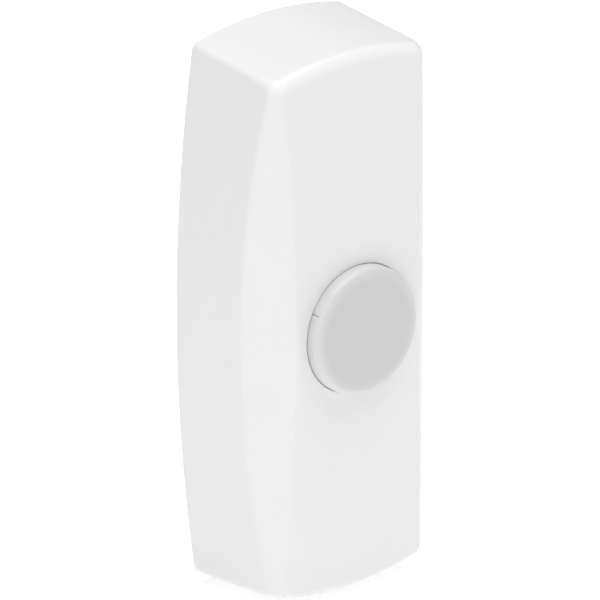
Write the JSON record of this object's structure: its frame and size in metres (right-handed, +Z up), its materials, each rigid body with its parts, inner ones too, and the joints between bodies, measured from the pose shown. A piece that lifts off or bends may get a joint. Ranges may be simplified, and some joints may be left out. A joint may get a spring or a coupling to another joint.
{
  "type": "wireless doorbell push button",
  "caption": "Slim wall-mounted bell push: bowed white cover with slanted corner facets and a round grey button, on a flat wall plate.",
  "frame": {"origin": "centre of the wall plate's rear face, which lies against the wall", "axes": "+Y into the wall, so the button faces -Y; +Z up along the height; X across the width"},
  "size_m": [0.0344, 0.0225, 0.0849],
  "materials": {
    "cover_plastic": "satin moulded white ABS",
    "plate_plastic": "fine matt moulded white ABS",
    "button_plastic": "satin moulded light grey ABS",
    "seal_silicone": "matt translucent grey silicone",
    "spring_steel": "bright drawn spring wire",
    "board_laminate": "green solder resist over glass laminate",
    "screw_steel": "zinc-plated steel",
    "black_plastic": "fine matt black moulding",
    "plunger_plastic": "satin cream moulding",
    "contact_metal": "nickel-plated, slightly warm",
    "sheet_metal": "stamped plated sheet",
    "tinned_metal": "dull tin plate",
    "can_metal": "drawn can, fine satin",
    "ceramic_tan": "matt fired ceramic",
    "copper_wire": "lacquered copper wire",
    "solder": "smooth bright solder",
    "cell_sleeve": "plain dark shrink sleeve",
    "cell_collar": "plain gold-toned shrink sleeve",
    "red_insulation": "smooth PVC",
    "black_insulation": "smooth PVC"
  },
  "bodies": {
    "base": {"back_plate": "plate_plastic"},
    "cover": {"front_cover": "cover_plastic", "button_seal": "seal_silicone", "button_spring": "spring_steel", "circuit_board": "board_laminate", "board_screws": "screw_steel", "switch_body": "black_plastic", "switch_dome": "contact_metal", "switch_frame": "sheet_metal", "switch_pins": "tinned_metal", "tune_switch_body": "black_plastic", "tune_switch_dome": "contact_metal", "tune_switch_frame": "sheet_metal", "tune_switch_pins": "tinned_metal", "encoder_chip": "black_plastic", "chip_pins": "tinned_metal", "resonator_can": "can_metal", "transistor_body": "black_plastic", "transistor_leads": "tinned_metal", "capacitor_can": "can_metal", "chip_capacitors": "ceramic_tan", "chip_resistors": "black_plastic", "chip_part_caps": "tinned_metal", "antenna_coil": "copper_wire", "antenna_post": "tinned_metal", "solder_joints": "solder", "cell_can": "cell_sleeve", "cell_insulator": "cell_collar", "cell_positive": "contact_metal", "positive_contact": "contact_metal", "negative_contact": "contact_metal", "contact_spring": "contact_metal", "positive_lead": "red_insulation", "negative_lead": "black_insulation"},
    "button": {"button_cap": "button_plastic"},
    "plunger": {"switch_plunger": "black_plastic"},
    "tune_plunger": {"tune_switch_plunger": "plunger_plastic"}
  },
  "joints": [
    {"name": "cover_pull", "type": "slide", "parent": "base", "child": "cover", "axis": [0, -1, 0], "range_m": [0, 0.03]},
    {"name": "button_press", "type": "slide", "parent": "cover", "child": "button", "axis": [0, 1, 0], "range_m": [0, 0.001], "stiffness_N_per_m": 500, "springref_m": -0.0025, "deforming": ["button_spring"]},
    {"name": "plunger_click", "type": "slide", "parent": "cover", "child": "plunger", "axis": [0, 1, 0], "range_m": [0, 0.00025]},
    {"name": "tune_press", "type": "slide", "parent": "cover", "child": "tune_plunger", "axis": [0, -1, 0], "range_m": [0, 0.00025], "stiffness_N_per_m": 1500, "springref_m": -0.0006}
  ],
  "couplings": [
    {"joint": "plunger_click", "follows": "button_press", "ratio": 0.25}
  ]
}
